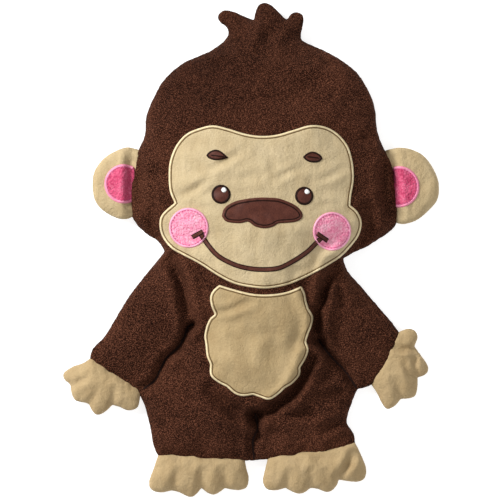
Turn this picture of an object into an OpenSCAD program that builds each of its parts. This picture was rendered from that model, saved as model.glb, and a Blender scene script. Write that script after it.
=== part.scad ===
// Stuffed monkey: a flat, lightly filled plush that lies on its back.
// +Z points out of its face and +Y towards the hair tuft. The origin is under the
// middle of its outline, on the surface that it lies on.
// Left and right are the monkey's own, so its right side has negative X.

/* [Padding] */
// Height of the side seam above the surface
seam_z = 9; // [8:0.5:11]
// Thickness of the head
head_top = 42; // [36:1:46]
// Thickness of the torso
torso_top = 36; // [30:1:38]
// Thickness of each sleeve
arm_top = 25; // [20:1:26]
// Thickness of each leg
leg_top = 25; // [20:1:26]
// Thickness of each hand and foot
paw_top = 14; // [12:0.5:15]
// Thickness of each ear
ear_top = 14; // [12:0.5:15]

/* [Cloth] */
// Thickness of the fleece and velour panels
cloth = 1.6; // [1:0.1:2.2]
// Thickness of a patch that is sewn on
patch = 1.2; // [0.8:0.1:1.6]
// Width of the face's satin-stitched border, as a share of the patch's radius
border_share = 0.05; // [0.04:0.005:0.07]
// Width of the smile
smile_w = 4; // [3:0.25:5]
// Width of a line of topstitching
stitch_w = 1.4; // [1:0.1:2]

/* [Folds] */
// Clearance across each fold line
fold_gap = 0.6; // [0.5:0.1:1]

/* [Hidden] */

// The figure is drawn about a point under the middle of the smile and then
// moved so that the origin is under the middle of its whole outline.
figure_shift = [-0.5, -1, 0];

fleece = "#4f2c22";
velour = "#d6c196";
plush_pink = "#ee8fba";
ear_pink = "#e2558a";
satin_brown = "#5a3530";
thread_cream = "#dcc9a0";
thread_dark = "#33201b";
white_thread = "white";

// A panel reaches its padded height on these rings between its middle and its seam.
outer_rings = [0.2, 0.4, 0.6, 0.8, 0.92, 1];
back_rings = [0.5, 0.75, 0.9, 1];
inner_rings = [0.55, 1];
large_patch_rings = [0.2, 0.4, 0.6, 0.8, 1];
small_patch_rings = [0.5, 1];
back_flat = 0.5;
seam_share = 0.93;
filling_share = 0.9;
filling_gap = 0.5;

// Widths of the other borders, as shares of their patches' radii
belly_border_share = 1.4 * border_share;
small_border_share = 0.12;
lining_border_share = 0.15;
// A border stands above its patch by this much, and clears it by this share of the radius.
border_rise = 0.4;
border_clearance = 0.003;

// Heights above the fleece at which sewn-on pieces lie
level_1 = 0.7;
level_2 = level_1 + patch + 0.5;
level_3 = level_2 + patch + border_rise + 0.2;
thread_gap = 0.2;

// ---------- Outlines, clockwise from above ----------

half_gap = fold_gap / 2;
neck_y = -18;
// The chin patch starts below the neck fold, to leave room for the smile when the head bends.
chin_top = neck_y - 3.5;
hip_y = -140;
crotch_x = 3;

// Where each fold line meets the outline
right_shoulder = [-87, neck_y];
left_shoulder = [83, neck_y];
right_armpit = [-95, -122];
left_armpit = [91, -118];
right_cuff = [[-136, -96], [-97, -121.5]];
left_cuff = [[127, -73], [105, -114]];
right_ankle = [[-78, -177], [-5, -180]];
left_ankle = [[16, -179], [89, -168]];
right_ear_root = [[-104, 27], [-103, 87]];
left_ear_root = [[127.5, 24], [122, 86]];

function nudge(points, way) = [for (p = points) p + way];

head_outline = curve([
  [-86, neck_y + half_gap], [-74, -2], [-90, 15], [-102, 40], [-101, 66], [-90, 110],
  [-72, 147], [-40, 168], [-25, 179], [-28, 196], [-20, 205], [-2, 197], [5, 201],
  [12, 211], [21, 204], [31, 197], [39, 203], [44, 196], [43, 180], [70, 166],
  [101, 138], [108, 98], [121, 74], [125, 34], [112, 11], [79, -7],
  [83, neck_y + half_gap]
]);
torso_outline = concat(
  nudge([right_shoulder], [half_gap, -half_gap]),
  nudge([left_shoulder], [-half_gap, -half_gap]),
  nudge([left_armpit], [-half_gap, 0]),
  [[86, -128], [83, hip_y + half_gap], [-88, hip_y + half_gap], [-90, -132]],
  nudge([right_armpit], [half_gap, 0])
);
right_arm_outline = concat(
  nudge([right_armpit], [-half_gap, 0]),
  [right_cuff[1]],
  curve([right_cuff[0], [-135, -83], [-124, -73], [-102, -37], [-91, -24]]),
  [[-88, -27]]
);
left_arm_outline = concat(
  [left_cuff[1]],
  nudge([left_armpit], [half_gap, 0]),
  [[84.5, -28]],
  curve([[87, -25], [108, -49], [124, -67], left_cuff[0]])
);
right_hand_outline = concat(
  nudge([right_cuff[0], right_cuff[1]], [-0.35, -0.5]),
  curve([
    [-98.5, -128], [-102, -137], [-119, -131], [-131, -139], [-139, -130], [-149, -128],
    [-153, -117], [-159, -105], [-148, -99]
  ])
);
left_hand_outline = concat(
  nudge([left_cuff[1], left_cuff[0]], [0.55, -0.3]),
  curve([
    [135, -68], [141, -72], [139, -84], [150, -101], [142, -110], [141, -124],
    [128, -127], [116, -134], [107, -120]
  ])
);
right_leg_outline = concat(
  curve([right_ankle[0], [-85, -155], [-88, hip_y - half_gap]]),
  [[crotch_x, hip_y - half_gap], [crotch_x, -179.7], right_ankle[1]]
);
left_leg_outline = concat(
  [[crotch_x + 0.2, -178.9], [crotch_x + 0.2, hip_y - half_gap]],
  curve([[83, hip_y - half_gap], [83, -147], [90, -161], left_ankle[1]]),
  [left_ankle[0]]
);
right_foot_outline = concat(
  nudge([right_ankle[0], right_ankle[1]], [0, -fold_gap]),
  curve([
    [-2, -190], [-5, -202], [-20, -202], [-31, -208], [-42, -203], [-52, -209],
    [-67, -204], [-80, -206], [-85, -197], [-80, -184]
  ])
);
left_foot_outline = concat(
  nudge([left_ankle[0], left_ankle[1]], [0, -fold_gap]),
  curve([
    [97, -181], [98, -191], [93, -197], [76, -195], [67, -204], [52, -202], [41, -206],
    [28, -202], [15, -203], [12, -192], [15, -183]
  ])
);
right_ear_outline = concat(
  [right_ear_root[1] + [-0.3, 0], right_ear_root[0] + [-0.3, 0]],
  curve([[-115, 29], [-130, 40], [-134, 56], [-130, 72], [-115, 84]])
);
left_ear_outline = concat(
  [left_ear_root[0] + [0.3, 0], left_ear_root[1] + [0.3, 0]],
  curve([[138, 85], [152, 74], [160, 55], [157, 39], [145, 29]])
);

face_edge = curve([
  [-34, -17], [-55, -5], [-74, 11], [-76, 29], [-64, 42], [-69, 62], [-62, 90],
  [-36, 105], [3, 96], [52, 105], [78, 95], [87, 68], [85, 42], [93, 30], [92, 14],
  [76, -5], [57, -17]
]);
chin_edge = curve([[51, chin_top], [34, -28.5], [8, -32], [-14, -28.5], [-27, chin_top]]);
belly_edge = curve([
  [-12, -33], [14, -37], [46, -36], [52, -60], [47, -76], [49, -86], [42, -103], [30, -115],
  [16, -126], [3, -122], [-18, -115], [-35, -98], [-39, -66], [-31, -55], [-33, -34]
]);
nose_edge = curve([
  [-24, 28], [-14, 40], [6, 44], [26, 42], [42, 31], [24, 23], [10, 18], [-7, 24]
]);
smile_line = curve([
  [-36, 5.5], [-27, -3.5], [-7, -13], [10, -14.8], [36, -8.5], [48, -1], [54, 5]
]);
right_arm_line = curve([[-49, -63], [-56, -74], [-71, -91], [-78, -106], [-92, -119]]);
left_arm_line = curve([[58, -76], [70, -90], [78, -101], [85, -109]]);
leg_line = [-173, -146];
smile_corners = [[[-38, 8.5], [-42, 14]], [[56, 7], [60, 11]]];
smile_bars = [[[-50, 12], [-40, 18]], [[57, 15], [66, 9]]];

face_middle = [8, 42];
chin_middle = [10, chin_top - 0.5];
belly_middle = [7, -78];
nose_middle = [10, 32];
cheeks = [[[-52, 19], 16.8], [[68.5, 16], 16.2]];
eyes = [[[-25, 47], 8.2], [[45, 45.5], 7.7]];
brows = [[[-27.5, 80], 18, 9, 12], [[52, 77.5], 16.5, 9, -14]];
glint_offset = [2.6, 3.6];
glint_radius = 2;

// ---------- Curves ----------

// Two points on a smooth open curve for each stretch between the given points
function curve(p) = [
  for (i = [0 : len(p) - 2])
    each [
      p[i],
      let (
        before = p[max(i - 1, 0)],
        after = p[min(i + 2, len(p) - 1)]
      )
      (9 * (p[i] + p[i + 1]) - before - after) / 16
    ],
  p[len(p) - 1]
];
function oval(middle, rx, ry, turn = 0, n = 20) = [
  for (i = [0 : n - 1])
    let (a = -360 * i / n, x = rx * cos(a), y = ry * sin(a))
    middle + [x * cos(turn) - y * sin(turn), x * sin(turn) + y * cos(turn)]
];
function lens(middle, long, high, turn, n = 16) = [
  for (i = [0 : n - 1])
    let (a = -360 * i / n, x = long / 2 * cos(a), y = high / 2 * sin(a) * abs(sin(a)))
    middle + [x * cos(turn) - y * sin(turn), x * sin(turn) + y * cos(turn)]
];

// ---------- Cushions ----------

// A cushion: [outline, middle, top, [fold line start, end], droop of its edge per millimetre]
head = [head_outline, [10, 78], head_top, [right_shoulder, left_shoulder], 0];
torso = [torso_outline, [0, -80], torso_top, [right_shoulder, left_shoulder], 0];
right_arm = [right_arm_outline, [-111, -76], arm_top, right_cuff, 0];
left_arm = [left_arm_outline, [105, -78], arm_top, left_cuff, 0];
right_hand = [right_hand_outline, [-123, -119], paw_top, right_cuff, 0.16];
left_hand = [left_hand_outline, [128, -102], paw_top, left_cuff, 0.16];
right_leg = [right_leg_outline, [-42, -159], leg_top, right_ankle, 0];
left_leg = [left_leg_outline, [46, -158], leg_top, left_ankle, 0];
right_foot = [right_foot_outline, [-43, -194], paw_top, right_ankle, 0.18];
left_foot = [left_foot_outline, [54, -189], paw_top, left_ankle, 0.18];
right_ear = [right_ear_outline, [-119, 57], ear_top, right_ear_root, 0.13];
left_ear = [left_ear_outline, [141, 56], ear_top, left_ear_root, 0.13];

function cross_2d(a, b) = a[0] * b[1] - a[1] * b[0];
function off_line(p, line) =
  abs(cross_2d(line[1] - line[0], p - line[0])) / norm(line[1] - line[0]);
function edge_z(cushion, p) = seam_z - cushion[4] * off_line(p, cushion[3]);
function back_rise(s) = s <= back_flat ? 0 : pow((s - back_flat) / (1 - back_flat), 2);

// Rings of a cushion's front, shrunk towards the middle by `share` and `inside` the cloth
function front_ring(c, s, share, inside) = [
  for (p = c[0])
    let (edge = edge_z(c, p), at = c[1] + share * s * (p - c[1]))
    [at[0], at[1], edge + (c[2] - inside - edge) * (1 - s * s)]
];
function back_ring(c, s, share, inside) = [
  for (p = c[0])
    let (edge = edge_z(c, p), at = c[1] + share * s * (p - c[1]))
    [at[0], at[1], inside + (edge - inside) * back_rise(s)]
];
function reversed(list) = [for (i = [len(list) - 1 : -1 : 0]) list[i]];

// How far a point lies from the cushion's middle, as a share of the way to its outline
function share_out(c, p) = max([
  for (i = [0 : len(c[0]) - 1])
    let (
      a = c[0][i] - c[1],
      e = c[0][(i + 1) % len(c[0])] - c[0][i],
      d = p - c[1],
      turn = cross_2d(d, e),
      u = turn == 0 ? -1 : cross_2d(a, d) / turn
    )
    u >= 0 && u <= 1 ? turn / cross_2d(a, e) : 0
]);
function front_z(c, p) =
  let (s = norm(p - c[1]) < 0.01 ? 0 : share_out(c, p))
  seam_z + (c[2] - seam_z) * (1 - s * s);
function lay(c, points, height) = [for (p = points) [p[0], p[1], front_z(c, p) + height]];
function lay_one(c, p, height) = [p[0], p[1], front_z(c, p) + height];

// A closed solid through a stack of rings, from one end point to the other
module stack(first, rings, last) {
  n = len(rings[0]);
  rows = len(rings);
  end = rows * n + 1;
  polyhedron(
    points = concat([first], [for (r = rings) each r], [last]),
    faces = concat(
      [for (i = [0 : n - 1]) [0, 1 + i, 1 + (i + 1) % n]],
      [
        for (r = [0 : rows - 2], i = [0 : n - 1])
          let (a = 1 + r * n + i, b = 1 + r * n + (i + 1) % n)
          each [[a, a + n, b], [b, a + n, b + n]]
      ],
      [for (i = [0 : n - 1]) [end, end - n + (i + 1) % n, end - n + i]]
    )
  );
}

// A band between two edges; `closed` joins its ends
module band(c, outer, inner, low, high, closed) {
  n = len(outer);
  rings = [lay(c, outer, low), lay(c, outer, high), lay(c, inner, high), lay(c, inner, low)];
  steps = closed ? n - 1 : n - 2;
  sides = [
    for (i = [0 : steps], k = [0 : 3])
      let (j = (i + 1) % n, a = k * n, b = (k + 1) % 4 * n)
      each [[a + i, b + i, a + j], [a + j, b + i, b + j]]
  ];
  ends = [
    [0, 2 * n, n], [0, 3 * n, 2 * n],
    [n - 1, 2 * n - 1, 3 * n - 1], [n - 1, 3 * n - 1, 4 * n - 1]
  ];
  polyhedron(points = [for (r = rings) each r], faces = closed ? sides : concat(sides, ends));
}

module place() {
  translate(figure_shift) children();
}

module front_panel(c) {
  place() stack(
    [c[1][0], c[1][1], c[2]],
    concat(
      [for (s = outer_rings) front_ring(c, s, 1, 0)],
      [for (s = reversed(inner_rings)) front_ring(c, s, seam_share, cloth)]
    ),
    [c[1][0], c[1][1], c[2] - cloth]
  );
}
module back_panel(c) {
  place() stack(
    [c[1][0], c[1][1], cloth],
    concat(
      [for (s = inner_rings) back_ring(c, s, seam_share, cloth)],
      [for (s = reversed(back_rings)) back_ring(c, s, 1, 0)]
    ),
    [c[1][0], c[1][1], 0]
  );
}
module filling(c) {
  deep = cloth + filling_gap;
  place() stack(
    [c[1][0], c[1][1], c[2] - deep],
    concat(
      [for (s = inner_rings) front_ring(c, s, filling_share, deep)],
      [for (s = [inner_rings[0]]) back_ring(c, s, filling_share, deep)]
    ),
    [c[1][0], c[1][1], deep]
  );
}
function shrunk(edge, middle, share) = [for (p = edge) middle + share * (p - middle)];
module sewn_patch(c, edge, middle, height, share = 1, rings = small_patch_rings) {
  place() stack(
    lay_one(c, middle, height + patch),
    concat(
      [for (s = rings) lay(c, shrunk(edge, middle, share * s), height + patch)],
      [for (s = reversed(rings)) lay(c, shrunk(edge, middle, share * s), height)]
    ),
    lay_one(c, middle, height)
  );
}
module patch_border(c, edge, middle, height, share, closed = true) {
  inner = shrunk(edge, middle, 1 - share + border_clearance);
  place() band(c, edge, inner, height, height + patch + border_rise, closed);
}
module stitched_line(c, line, width, height, thick) {
  n = len(line);
  way = [for (i = [0 : n - 1]) line[min(i + 1, n - 1)] - line[max(i - 1, 0)]];
  side = [for (w = way) [w[1], -w[0]] / norm(w) * width / 2];
  place() band(
    c,
    [for (i = [0 : n - 1]) line[i] - side[i]],
    [for (i = [0 : n - 1]) line[i] + side[i]],
    height, height + thick, false
  );
}

// ---------- Torso ----------

module torso_front() { color(fleece) front_panel(torso); }
module torso_back() { color(fleece) back_panel(torso); }
module torso_stuffing() { color(white_thread) filling(torso); }
module belly_patch() {
  color(velour)
    sewn_patch(torso, belly_edge, belly_middle, level_1, 1 - belly_border_share, large_patch_rings);
}
module belly_border() {
  color(thread_cream) patch_border(torso, belly_edge, belly_middle, level_1, belly_border_share);
}
module chin_patch() {
  color(velour) sewn_patch(torso, chin_edge, chin_middle, level_1, 1 - small_border_share);
}
module chin_border() {
  color(thread_cream) patch_border(torso, chin_edge, chin_middle, level_1, small_border_share, false);
}
module right_arm_stitching() {
  color(thread_dark) stitched_line(torso, right_arm_line, stitch_w, thread_gap, patch);
}
module left_arm_stitching() {
  color(thread_dark) stitched_line(torso, left_arm_line, stitch_w, thread_gap, patch);
}

// ---------- Head and face ----------

module head_front() { color(fleece) front_panel(head); }
module head_back() { color(fleece) back_panel(head); }
module head_stuffing() { color(white_thread) filling(head); }
module face_patch() {
  color(velour)
    sewn_patch(head, face_edge, face_middle, level_1, 1 - border_share, large_patch_rings);
}
module face_border() {
  color(thread_cream) patch_border(head, face_edge, face_middle, level_1, border_share, false);
}
module nose_patch() {
  color(satin_brown) sewn_patch(head, nose_edge, nose_middle, level_2, 1 - small_border_share);
}
module nose_border() {
  color(thread_dark) patch_border(head, nose_edge, nose_middle, level_2, small_border_share);
}
module brow(b) {
  color(satin_brown) sewn_patch(head, lens(b[0], b[1], b[2], b[3]), b[0], level_2);
}
module right_brow() { brow(brows[0]); }
module left_brow() { brow(brows[1]); }
module eye(e) {
  color(satin_brown) sewn_patch(head, oval(e[0], e[1], e[1]), e[0], level_2);
}
module right_eye() { eye(eyes[0]); }
module left_eye() { eye(eyes[1]); }
module eye_glints() {
  color(white_thread)
    for (e = eyes) {
      at = e[0] + glint_offset;
      sewn_patch(head, oval(at, glint_radius, glint_radius, 0, 10), at, level_3);
    }
}
module cheek(k) {
  color(plush_pink)
    sewn_patch(head, oval(k[0], k[1], k[1]), k[0], level_2, 1 - small_border_share);
}
module right_cheek() { cheek(cheeks[0]); }
module left_cheek() { cheek(cheeks[1]); }
module cheek_border(k) {
  color(ear_pink)
    patch_border(head, oval(k[0], k[1], k[1]), k[0], level_2, small_border_share);
}
module right_cheek_border() { cheek_border(cheeks[0]); }
module left_cheek_border() { cheek_border(cheeks[1]); }
module smile_stitching() {
  color(satin_brown) {
    // The lowest part of the smile lies just above the neck fold.
    stitched_line(head, smile_line, smile_w, level_2, patch);
    // The corners of the smile run on over the cheeks and end in short cross bars.
    for (corner = smile_corners) {
      stitched_line(head, corner, smile_w, level_3, patch);
    }
    for (bar = smile_bars) {
      stitched_line(head, bar, 0.75 * smile_w, level_3 + patch + thread_gap, patch);
    }
  }
}

// ---------- Arms and hands ----------

module right_arm_front() { color(fleece) front_panel(right_arm); }
module right_arm_back() { color(fleece) back_panel(right_arm); }
module right_arm_stuffing() { color(white_thread) filling(right_arm); }
module left_arm_front() { color(fleece) front_panel(left_arm); }
module left_arm_back() { color(fleece) back_panel(left_arm); }
module left_arm_stuffing() { color(white_thread) filling(left_arm); }
module right_hand_front() { color(velour) front_panel(right_hand); }
module right_hand_back() { color(velour) back_panel(right_hand); }
module right_hand_wadding() { color(white_thread) filling(right_hand); }
module left_hand_front() { color(velour) front_panel(left_hand); }
module left_hand_back() { color(velour) back_panel(left_hand); }
module left_hand_wadding() { color(white_thread) filling(left_hand); }

// ---------- Legs and feet ----------

module right_leg_front() { color(fleece) front_panel(right_leg); }
module right_leg_back() { color(fleece) back_panel(right_leg); }
module right_leg_stuffing() { color(white_thread) filling(right_leg); }
module left_leg_front() { color(fleece) front_panel(left_leg); }
module left_leg_back() { color(fleece) back_panel(left_leg); }
module left_leg_stuffing() { color(white_thread) filling(left_leg); }
module leg_stitching() {
  // It lies in the valley between the two legs.
  color(thread_dark) place()
    translate([crotch_x - stitch_w / 2, leg_line[0], seam_z + 1])
      cube([stitch_w, leg_line[1] - leg_line[0], 1]);
}
module right_foot_front() { color(velour) front_panel(right_foot); }
module right_foot_back() { color(velour) back_panel(right_foot); }
module right_foot_wadding() { color(white_thread) filling(right_foot); }
module left_foot_front() { color(velour) front_panel(left_foot); }
module left_foot_back() { color(velour) back_panel(left_foot); }
module left_foot_wadding() { color(white_thread) filling(left_foot); }

// ---------- Ears ----------

// The pink lining is a disc cut off where the ear meets the head.
function lining_edge(middle, radius, cut, side, n = 12) =
  let (reach = acos(side * (cut - middle[0]) / radius))
  [
    for (i = [0 : n - 1])
      let (a = side * reach * (2 * i / (n - 1) - 1))
      middle + radius * [side * cos(a), -sin(a)]
  ];
right_lining = lining_edge([-107.5, 56.5], 16.5, -106.5, -1);
left_lining = lining_edge([126, 54], 17.4, 130, 1);
right_lining_middle = [-113, 56.5];
left_lining_middle = [135, 54];

module right_ear_front() { color(velour) front_panel(right_ear); }
module right_ear_back() { color(velour) back_panel(right_ear); }
module right_ear_lining() {
  color(ear_pink) sewn_patch(right_ear, right_lining, right_lining_middle, level_1, 1 - lining_border_share);
}
module right_ear_lining_border() {
  color(plush_pink) patch_border(right_ear, right_lining, right_lining_middle, level_1, lining_border_share);
}
module left_ear_front() { color(velour) front_panel(left_ear); }
module left_ear_back() { color(velour) back_panel(left_ear); }
module left_ear_lining() {
  color(ear_pink) sewn_patch(left_ear, left_lining, left_lining_middle, level_1, 1 - lining_border_share);
}
module left_ear_lining_border() {
  color(plush_pink) patch_border(left_ear, left_lining, left_lining_middle, level_1, lining_border_share);
}

torso_front();
torso_back();
torso_stuffing();
belly_patch();
belly_border();
chin_patch();
chin_border();
right_arm_stitching();
left_arm_stitching();
head_front();
head_back();
head_stuffing();
face_patch();
face_border();
nose_patch();
nose_border();
right_brow();
left_brow();
right_eye();
left_eye();
eye_glints();
right_cheek();
left_cheek();
right_cheek_border();
left_cheek_border();
smile_stitching();
right_arm_front();
right_arm_back();
right_arm_stuffing();
left_arm_front();
left_arm_back();
left_arm_stuffing();
right_hand_front();
right_hand_back();
right_hand_wadding();
left_hand_front();
left_hand_back();
left_hand_wadding();
right_leg_front();
right_leg_back();
right_leg_stuffing();
left_leg_front();
left_leg_back();
left_leg_stuffing();
leg_stitching();
right_foot_front();
right_foot_back();
right_foot_wadding();
left_foot_front();
left_foot_back();
left_foot_wadding();
right_ear_front();
right_ear_back();
right_ear_lining();
right_ear_lining_border();
left_ear_front();
left_ear_back();
left_ear_lining();
left_ear_lining_border();
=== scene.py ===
"""Stuffed monkey: a flat, lightly filled plush that lies on its back, face up.

Lengths in this script are millimetres about the figure's drawing origin, which is the one that
the CAD model draws about. mesh_object() turns them into metres in the row frame.
"""

import bmesh
import bpy
import math
import numpy as np
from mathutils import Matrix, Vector, noise
from mathutils.bvhtree import BVHTree
from mathutils.geometry import delaunay_2d_cdt


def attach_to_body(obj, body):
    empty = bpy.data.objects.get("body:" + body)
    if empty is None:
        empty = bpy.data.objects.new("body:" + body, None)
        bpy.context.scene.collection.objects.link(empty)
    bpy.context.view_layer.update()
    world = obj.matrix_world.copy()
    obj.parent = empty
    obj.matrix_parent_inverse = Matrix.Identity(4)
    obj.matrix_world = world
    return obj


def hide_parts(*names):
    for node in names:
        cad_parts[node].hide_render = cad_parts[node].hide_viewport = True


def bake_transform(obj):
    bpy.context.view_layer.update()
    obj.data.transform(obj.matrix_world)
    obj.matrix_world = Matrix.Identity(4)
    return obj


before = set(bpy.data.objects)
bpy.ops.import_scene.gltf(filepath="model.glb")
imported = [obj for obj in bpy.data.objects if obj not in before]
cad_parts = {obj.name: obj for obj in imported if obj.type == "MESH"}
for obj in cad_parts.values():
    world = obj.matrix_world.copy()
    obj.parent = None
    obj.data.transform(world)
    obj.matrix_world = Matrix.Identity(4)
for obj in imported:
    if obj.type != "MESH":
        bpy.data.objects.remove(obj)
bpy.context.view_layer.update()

MM = 0.001
SHIFT = np.array([-0.5, -1.0, 0.0])  # the drawing origin, in the row frame
SEAM_Z = 9.0  # height of the side seams

# ---------- fold lines

SIDES = ("right", "left")
NECK_Y = -18.0
HIP_Y = -140.0
SHOULDER = {"right": (-87, NECK_Y), "left": (83, NECK_Y)}
ARMPIT = {"right": (-95, -122), "left": (91, -118)}
# Each line is named so that its flap lies on the right-hand side, going from its first end.
ARM_ROOT = {"right": (SHOULDER["right"], ARMPIT["right"]), "left": (ARMPIT["left"], SHOULDER["left"])}
CUFF = {"right": ((-136, -96), (-97, -121.5)), "left": ((105, -114), (127, -73))}
ANKLE = {"right": ((-78, -177), (-5, -180)), "left": ((16, -179), (89, -168))}
EAR_ROOT = {"right": ((-103, 87), (-104, 27)), "left": ((127.5, 24), (122, 86))}

# ---------- outlines, clockwise from above

# Each stretch is a smooth curve, and the silhouette has a corner where two stretches meet.
SILHOUETTE = [
    [(-73, -1), (-79, 8), (-90, 15), (-100, 27), (-102, 42), (-102, 56), (-100, 68), (-96, 84),
     (-90, 98), (-89, 113), (-83, 129), (-73, 146), (-58, 159), (-36, 169), (-24, 177), (-19, 183),
     (-20, 190), (-26, 194), (-28, 199), (-24, 204), (-16, 204), (-7, 200), (3, 196)],
    [(3, 196), (4, 203), (7, 209), (13, 211), (19, 208), (25, 202), (31, 196)],
    [(31, 196), (34, 201), (39, 203), (45, 200), (45, 193), (43, 181), (47, 177),
     (69, 167), (89, 153), (100, 137), (106, 120), (108, 102), (113, 88), (120, 74), (123, 55),
     (125, 36), (125, 24), (119, 16), (110, 10), (99, 3), (88, -2), (79, -7)],
    [(79, -7), SHOULDER["left"], (92, -28), (109, -48), (122, -63), (128, -72)],
    [(128, -72), (122, -90), (113, -105), (104, -114), (97, -117), ARMPIT["left"]],
    [ARMPIT["left"], (87, -128), (83, HIP_Y), (82, -147), (86, -153), (89, -159), (89, -168)],
    [(89, -168), (73, -172), (50, -175), (15, -178), (-1, -179), (-18, -180), (-48, -179), (-78, -176)],
    [(-78, -176), (-82, -168), (-85, -153), (-88, HIP_Y), (-91, -130), ARMPIT["right"]],
    [ARMPIT["right"], (-108, -113), (-120, -106), (-131, -100), (-137, -92)],
    [(-137, -92), (-134, -83), (-124, -73), (-112, -53), (-102, -37), SHOULDER["right"], (-73, -1)],
]
HANDS = {
    "right": [[(-134, -91), (-94, -118)],
              [(-94, -118), (-95, -128), (-97, -134), (-104, -136), (-111, -133), (-118, -131)],
              [(-118, -131), (-124, -137), (-131, -140), (-135, -136), (-137, -131)],
              [(-137, -131), (-142, -129), (-149, -128), (-152, -122), (-153, -114)],
              [(-153, -114), (-158, -110), (-159, -105), (-150, -99), (-143, -97), (-134, -91)]],
    "left": [[(102, -112), (122, -72)],
             [(122, -72), (129, -69), (135, -67), (140, -69), (142, -74), (139, -82)],
             [(139, -82), (145, -90), (151, -99), (150, -105), (142, -108)],
             [(142, -108), (142, -116), (140, -124), (134, -126), (128, -126)],
             [(128, -126), (123, -132), (117, -135), (113, -131), (108, -121), (102, -112)]],
}
FEET = {
    "right": [[(-77, -172), (-6, -175)],
              [(-6, -175), (-4, -186), (-2, -194), (-4, -202), (-12, -204), (-22, -202)],
              [(-22, -202), (-27, -206), (-33, -208), (-42, -202)],
              [(-42, -202), (-47, -208), (-52, -210), (-60, -206), (-67, -204)],
              [(-67, -204), (-76, -206), (-84, -204), (-86, -198), (-82, -186), (-77, -172)]],
    "left": [[(16, -174), (88, -163)],
             [(88, -163), (94, -175), (98, -186), (97, -194), (91, -197), (75, -195)],
             [(75, -195), (72, -202), (66, -206), (58, -203), (51, -202)],
             [(51, -202), (46, -206), (40, -207), (30, -202)],
             [(30, -202), (22, -204), (14, -203), (11, -196), (13, -187), (16, -174)]],
}
EARS = {
    "right": [[(-93, 84), (-97, 31)],
              [(-97, 31), (-106, 27), (-116, 29), (-126, 35), (-132, 43), (-134, 56), (-132, 68),
               (-123, 79), (-110, 86), (-102, 87), (-93, 84)]],
    "left": [[(119, 27), (114, 84)],
             [(114, 84), (121, 86), (129, 87), (138, 85), (146, 81), (153, 73), (159, 61), (160, 50),
              (158, 42), (152, 35), (144, 28), (136, 24), (127, 23), (119, 27)]],
}
FACE = [
    [(-64, 40), (-68, 50), (-69, 63), (-68, 75), (-63, 88), (-54, 98), (-42, 103), (-31, 105),
     (-18, 102), (-5, 98), (8, 96), (22, 97), (36, 101), (50, 105), (63, 104), (74, 98), (82, 88),
     (86, 75), (87, 60), (85, 47), (84, 38)],
    [(84, 38), (90, 33), (94, 24), (92, 13), (85, 3), (76, -6), (63, -14), (48, -22), (31, -29),
     (14, -32), (0, -31), (-14, -28), (-28, -21), (-42, -12), (-55, -5), (-66, 1), (-74, 10),
     (-77, 20), (-75, 30), (-64, 40)],
]
BELLY = [
    [(-26, -29), (-16, -32), (0, -36), (14, -37), (30, -35), (43, -30)],
    [(43, -30), (46, -36), (47, -42), (49, -49)],
    [(49, -49), (53, -56), (52, -63), (49, -70), (47, -77)],
    [(47, -77), (49, -83), (47, -91), (42, -99)],
    [(42, -99), (42, -105), (36, -112), (29, -116)],
    [(29, -116), (24, -121), (16, -126), (8, -124), (2, -122)],
    [(2, -122), (-6, -123), (-13, -121), (-20, -115)],
    [(-20, -115), (-28, -111), (-34, -105), (-34, -96)],
    [(-34, -96), (-37, -89), (-38, -80), (-39, -72), (-37, -63)],
    [(-37, -63), (-34, -57), (-30, -54)],
    [(-30, -54), (-33, -47), (-34, -39), (-31, -33), (-26, -29)],
]
NOSE = [
    [(-24, 29), (-22, 35), (-17, 39), (-9, 42), (5, 44), (16, 44), (25, 43), (37, 38), (43, 32),
     (43, 27), (38, 24), (30, 23)],
    [(30, 23), (23, 22.5), (19, 20), (12, 18.4), (4, 20), (-2, 24), (-9, 22.7), (-20, 24), (-24, 29)],
]
BROWS = {
    "right": [[(-37, 80), (-34, 83), (-29, 84.5), (-24, 82.5), (-18.5, 77.5)],
              [(-18.5, 77.5), (-23.5, 76), (-30, 75.5), (-35.5, 77.5), (-37, 80)]],
    "left": [[(44, 78.5), (48.5, 82), (53.5, 82.7), (58.7, 80), (60.4, 76.8)],
             [(60.4, 76.8), (57, 74), (50.7, 73.7), (46, 75.7), (44, 78.5)]],
}
EYES = {"right": ((-24.7, 47), 8.0), "left": ((45, 45.6), 7.7)}
CHEEKS = {"right": ((-52, 19), 16.8), "left": ((68.6, 16), 16.2)}
GLINT_AT = (2.5, 3.7)  # from the middle of an eye
GLINT_RADIUS = 2.2
EAR_LININGS = {"right": ((-107.5, 56.5), 16.5), "left": ((126, 54), 17.4)}
SMILE = [(-42, 14), (-36, 5), (-28, -4), (-18, -10), (-7, -14), (7, -16), (23, -15), (36, -9),
         (48, -1), (55, 6), (60, 11)]
SMILE_BARS = [((-49, 11), (-40, 16)), ((56, 14), (65, 8))]
ARM_STITCHES = {
    "right": [(-49, -63), (-53, -65), (-56, -73), (-61, -82), (-71, -91), (-76, -100), (-81, -110),
              (-87, -115), (-91, -118)],
    "left": [(58, -76), (64, -85), (72, -94), (79, -101), (85, -109), (90, -117)],
}
LEG_STITCHES = [(4, -139), (6, -151), (2, -162), (3, -177)]

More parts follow.
